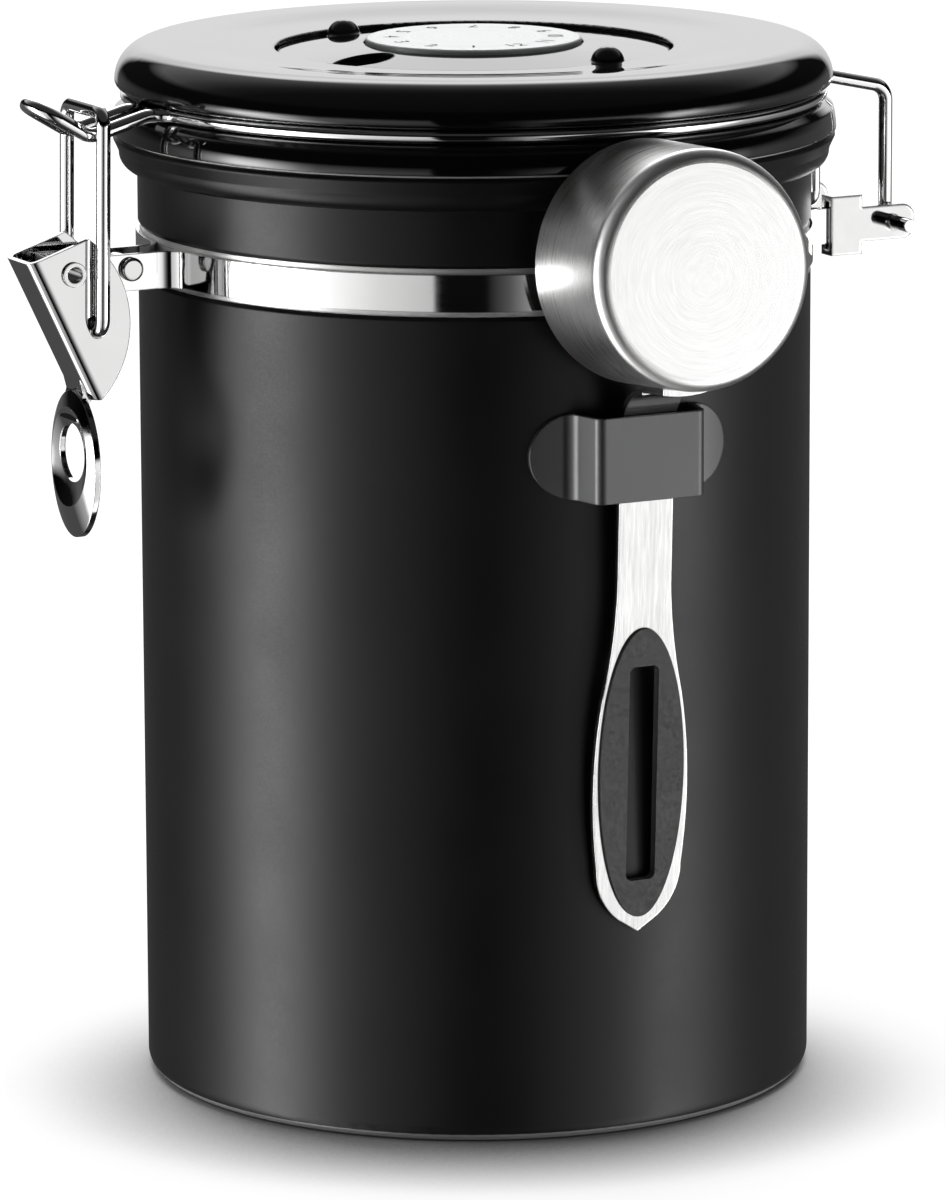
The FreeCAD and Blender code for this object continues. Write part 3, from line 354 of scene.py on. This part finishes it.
def ink(name, level):
    """Printed ink, slightly uneven."""
    material, t, shader = new_material(name)
    uneven = t.noise(t.object_place(), 2500.0, 3.0)
    t.put(shader.inputs["Base Color"], t.mixed(uneven, grey(level * 0.8), grey(level)))
    t.put(shader.inputs["Roughness"], t.ranged(uneven, 0.3, 0.7, 0.7, 0.85))
    shader.inputs["Specular IOR Level"].default_value = 0.15
    return material


looks = {
    "canister_body": powder_coat("canister_coat_look", 0.0025, 0.0038, 0.32, 0.42, 0.22,
                                 steel_inside=True),
    "scoop_holder": powder_coat("holder_coat_look", 0.010, 0.014, 0.34, 0.42, 0.72),
    "bail_wire": plated("chrome_wire_look", 0.74, 0.02, 0.08, (400.0, 400.0, 400.0)),
    "lid_shell": gloss_moulding("lid_gloss_look", 0.0025),
    "day_ring": gloss_moulding("ring_gloss_look", 0.0025),
    "lid_gasket": soft_rubber("seal_look", grey(0.62, 0.02), grey(0.70, 0.02), 0.45, 900.0),
    "lid_liner": satin_moulding("liner_look", grey(0.018), grey(0.026), 0.42),
    "valve_body": satin_moulding("valve_plastic_look", grey(0.66, 0.02), grey(0.74, 0.02), 0.4),
    "valve_filter": felt("filter_look"),
    "valve_disc": soft_rubber("valve_rubber_look", grey(0.05), grey(0.08), 0.6, 1600.0),
    "day_scale": satin_moulding("scale_look", grey(0.010), grey(0.016), 0.5),
    "month_dial": silver_paint("dial_silver_look"),
    "strap_band": plated("chrome_strap_look", 0.68, 0.02, 0.08, (200.0, 200.0, 2600.0)),
    "latch_lever": plated("chrome_lever_look", 0.52, 0.02, 0.09, (300.0, 300.0, 900.0)),
    "hinge_ear_front": plated("chrome_ear_look", 0.54, 0.02, 0.09, (900.0, 300.0, 300.0), 0.0007),
    "scoop_cup": turned_steel("cup_steel_look", *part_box("scoop_cup"), 0.62),
    "scoop_handle": brushed_steel("handle_steel_look", (5200.0, 5200.0, 90.0), 0.12, 0.20, 0.54),
    "scoop_grip": soft_rubber("grip_look", grey(0.034), grey(0.048), 0.58, 1500.0),
}
same_look = {
    "latch_link": "bail_wire",
    "valve_cap": "valve_body",
    "dial_retainer": "valve_body",
    "strap_rivet": "latch_lever",
    "lever_rivet": "latch_lever",
    "hinge_ear_rear": "hinge_ear_front",
}
for name, node in nodes.items():
    node.data.materials.clear()
    node.data.materials.append(looks[same_look.get(name, name)])


def numbers_ring(name, labels, radius, height, top, first_angle, step, body, material):
    """Numbers printed round a dial, upright for someone who looks from outside."""
    meshes = []
    for index, label in enumerate(labels):
        curve = bpy.data.curves.new(name + label, "FONT")
        curve.body = label
        curve.size = height
        curve.align_x = "CENTER"
        curve.align_y = "CENTER"
        curve.extrude = INK_THICKNESS
        angle = first_angle + step * index
        text = bpy.data.objects.new(name + label, curve)
        place = Vector((math.cos(angle), math.sin(angle), 0)) * radius + Vector((0, 0, top))
        turn = Matrix.Rotation(angle + math.pi / 2, 4, "Z")
        bpy.context.scene.collection.objects.link(text)
        bpy.context.view_layer.update()
        mesh = bpy.data.meshes.new_from_object(text)
        mesh.transform(Matrix.Translation(place) @ turn)
        bpy.data.objects.remove(text)
        meshes.append(mesh)
    joined = bpy.data.meshes.new(name)
    points, faces = [], []
    for mesh in meshes:
        start = len(points)
        points += [v.co[:] for v in mesh.vertices]
        faces += [[start + i for i in p.vertices] for p in mesh.polygons]
    joined.from_pydata(points, [], faces)
    joined.materials.append(material)
    piece = bpy.data.objects.new(name, joined)
    bpy.context.scene.collection.objects.link(piece)
    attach(piece, body)


dial_ink = ink("dial_ink_look", 0.02)
scale_ink = ink("scale_ink_look", 0.7)
numbers_ring("month_numbers", [str(n) for n in range(1, MONTHS + 1)], MONTH_RADIUS, MONTH_HEIGHT, DIAL_TOP,
             MONTH_START, -2 * math.pi / MONTHS, "month_dial", dial_ink)
numbers_ring("day_numbers", [str(n) for n in range(1, DAYS + 1)], DAY_RADIUS, DAY_HEIGHT, DAY_SCALE_TOP,
             DAY_START, -2 * math.pi / DAYS, "lid", scale_ink)


def make_camera():
    data = bpy.data.cameras.new("photo_camera")
    data.sensor_width = SENSOR
    data.lens = FOCAL_PIXELS * SENSOR / IMAGE_HEIGHT
    data.clip_start = 0.05
    data.clip_end = 20.0
    camera = bpy.data.objects.new("photo_camera", data)
    cp, sp = math.cos(CAMERA_PITCH), math.sin(CAMERA_PITCH)
    cy, sy = math.cos(CAMERA_YAW), math.sin(CAMERA_YAW)
    right = Vector((cy, -sy, 0))
    up = Vector((sp * sy, sp * cy, cp))
    ahead = Vector((cp * sy, cp * cy, -sp))
    rolled_right = right * math.cos(CAMERA_ROLL) + up * math.sin(CAMERA_ROLL)
    rolled_up = up * math.cos(CAMERA_ROLL) - right * math.sin(CAMERA_ROLL)
    place = Matrix((
        (rolled_right.x, rolled_up.x, -ahead.x, 0),
        (rolled_right.y, rolled_up.y, -ahead.y, -CAMERA_DISTANCE),
        (rolled_right.z, rolled_up.z, -ahead.z, CAMERA_HEIGHT),
        (0, 0, 0, 1),
    ))
    camera.matrix_world = Matrix.Rotation(CAMERA_AZIMUTH, 4, "Z") @ place
    bpy.context.scene.collection.objects.link(camera)
    bpy.context.scene.camera = camera


def around_object(azimuth, distance, height):
    """A place round the object; azimuth in degrees from the camera's side, positive to the right."""
    angle = CAMERA_AZIMUTH + math.radians(azimuth)
    return Vector((math.sin(angle) * distance, -math.cos(angle) * distance, height))


# Height above the floor that the lamps point at
LAMP_TARGET = 0.10


def softbox(name, azimuth, distance, height, width, tall, power):
    """A lamp that lights the object; what gloss shows of the studio comes from the world."""
    data = bpy.data.lights.new(name, "AREA")
    data.shape = "RECTANGLE"
    data.size = width
    data.size_y = tall
    data.energy = power
    lamp = bpy.data.objects.new(name, data)
    lamp.location = around_object(azimuth, distance, height)
    aim = Vector((0, 0, LAMP_TARGET)) - lamp.location
    lamp.rotation_mode = "QUATERNION"
    lamp.rotation_quaternion = aim.to_track_quat("-Z", "Y")
    lamp.visible_glossy = False
    bpy.context.scene.collection.objects.link(lamp)


def round_the_studio(t, vector, levels):
    """Light level by the angle round the object, in degrees as for around_object."""
    sides = []
    for azimuth in (90, 0):
        dot = t.add("ShaderNodeVectorMath", operation="DOT_PRODUCT")
        t.put(dot.inputs[0], vector)
        dot.inputs[1].default_value = around_object(azimuth, 1, 0)
        sides.append(dot.outputs["Value"])
    angle = t.math("ARCTAN2", sides[0], sides[1])
    turn = t.ranged(angle, -math.pi, math.pi, 0.0, 1.0)
    return t.stepped(turn, [(azimuth / 360 + 0.5, level) for azimuth, level in levels])


# Light that gloss shows: below the horizon by angle round the object, behind the object by angle and
# by height, and overhead from the back (-1) to the camera's side (1)
LOWER_STUDIO = (
    (-180, 0.12), (-118, 0.14), (-98, 0.9), (-88, 5.0), (-80, 13.0), (-72, 13.0), (-63, 7.0), (-56, 3.0),
    (-50, 1.5), (-32, 1.0), (-14, 0.75), (-12.5, 0.004), (4, 0.004), (12, 0.12), (20, 0.4), (30, 1.0),
    (44, 1.5), (58, 1.6), (61, 3.0), (66, 9.0), (72, 9.0), (80, 3.5), (98, 0.6), (118, 0.3), (140, 0.2),
    (180, 0.12),
)
BACK_PANEL = ((-180, 1.55), (-164, 1.55), (-158, 0.0), (158, 0.0), (164, 1.55), (180, 1.55))
BACK_HEIGHT = (
    (-0.16, 0.0), (-0.10, 0.47), (0.1, 0.82), (0.2, 1.06), (0.3, 1.2), (0.36, 1.3), (0.46, 1.85), (0.6, 3.0),
    (0.68, 3.2), (0.76, 1.2), (0.85, 0.3), (0.9, 0.0),
)
OVERHEAD = (
    (-1.0, 0.6), (-0.68, 0.6), (-0.5, 0.5), (-0.4, 0.36), (-0.2, 0.13), (0.05, 0.04), (1.0, 0.03),
)
# Even light for dull surfaces, and what gloss shows straight below
FILL_LIGHT = 0.3
FLOOR_GLOSS = 0.04


def along(t, value, levels):
    """Light level by a value, straight between the listed places."""
    low = levels[0][0]
    high = levels[-1][0]
    share = t.ranged(value, low, high, 0.0, 1.0)
    return t.stepped(share, [((place - low) / (high - low), level) for place, level in levels])


def make_world():
    """White for the camera; panels behind, overhead and low at the sides for gloss; an even fill."""
    world = bpy.data.worlds.new("studio")
    bpy.context.scene.world = world
    world.use_nodes = True
    world.cycles.sampling_method = "NONE"
    t = Tree(world.node_tree)
    back = world.node_tree.nodes["Background"]
    path = t.add("ShaderNodeLightPath")
    direction = t.add("ShaderNodeTexCoord").outputs["Generated"]
    height = t.parts_of(direction)[2]
    ahead = t.add("ShaderNodeVectorMath", operation="DOT_PRODUCT")
    t.put(ahead.inputs[0], direction)
    ahead.inputs[1].default_value = around_object(0, 1, 0)
    overhead = t.math("MULTIPLY", along(t, ahead.outputs["Value"], OVERHEAD),
                      t.ranged(height, 0.36, 0.46, 0.015, 1.0))
    behind = t.math("MULTIPLY", round_the_studio(t, direction, BACK_PANEL),
                    along(t, height, BACK_HEIGHT))
    lower = t.math("MULTIPLY", round_the_studio(t, direction, LOWER_STUDIO),
                   t.ranged(height, -0.34, -0.12, 0.8, 1.05))
    lower = t.blended(t.ranged(height, -0.6, -0.9, 0.0, 1.0), lower, FLOOR_GLOSS)
    studio = t.blended(t.ranged(height, -0.03, 0.06, 0.0, 1.0), lower, overhead)
    studio = t.math("MAXIMUM", studio, behind)
    shiny = t.math("MAXIMUM", path.outputs["Is Glossy Ray"], path.outputs["Is Transmission Ray"])
    level = t.blended(shiny, FILL_LIGHT, studio)
    level = t.blended(path.outputs["Is Camera Ray"], level, 1.0)
    t.put(back.inputs["Strength"], level)
    back.inputs["Color"].default_value = grey(1.0)


# Half the floor's side, how far the painted shadow reaches and how far it leans
FLOOR_REACH = 3.0
SHADOW_REACH = 0.038
BACK_LEAN = math.radians(46.0)


def make_floor():
    """White paper that takes the lamps' real shadow; its glow for the camera is dimmed by occlusion round
    the object, a painted shadow that leans to the camera's side.
    """
    mesh = bpy.data.meshes.new("floor")
    corners = [(x * FLOOR_REACH, y * FLOOR_REACH, 0) for x, y in ((-1, -1), (1, -1), (1, 1), (-1, 1))]
    mesh.from_pydata(corners, [], [(0, 1, 2, 3)])
    floor = bpy.data.objects.new("floor", mesh)
    bpy.context.scene.collection.objects.link(floor)
    floor.visible_glossy = False
    material, t, paper = new_material("floor_paper")
    material.cycles.emission_sampling = "NONE"
    path = t.add("ShaderNodeLightPath")
    # Painted shadow: the paper's glow for the camera dims where occlusion, looked for along a normal leaning
    # away from the camera, finds the object
    near = t.add("ShaderNodeAmbientOcclusion", samples=16)
    near.inputs["Distance"].default_value = SHADOW_REACH
    lean = around_object(180, math.sin(BACK_LEAN), math.cos(BACK_LEAN))
    t.put(near.inputs["Normal"], t.vector(*lean))
    open_sky = t.ranged(near.outputs["AO"], 0.37, 0.90, 0.0, 1.0)
    radius = lathe_place(t, t.object_place())[0]
    white = t.ranged(radius, 0.07, 0.16, 0.82, 1.0)
    seen = t.math("MAXIMUM", path.outputs["Is Camera Ray"], path.outputs["Is Transmission Ray"])
    glow = t.math("MULTIPLY", seen, t.math("MULTIPLY", open_sky, white))
    paper.inputs["Base Color"].default_value = grey(0.14)
    paper.inputs["Roughness"].default_value = 0.9
    paper.inputs["Specular IOR Level"].default_value = 0.0
    paper.inputs["Emission Color"].default_value = grey(1.0)
    t.put(paper.inputs["Emission Strength"], glow)
    mesh.materials.append(material)


make_camera()
make_world()
make_floor()
softbox("left_softbox", azimuth=-81, distance=1.1, height=0.35, width=0.35, tall=1.2, power=9.0)
softbox("right_softbox", azimuth=61, distance=1.3, height=0.35, width=0.35, tall=1.2, power=6.0)
softbox("top_softbox", azimuth=180, distance=0.25, height=1.3, width=0.5, tall=0.5, power=16.0)

bpy.context.scene.view_settings.view_transform = "Standard"
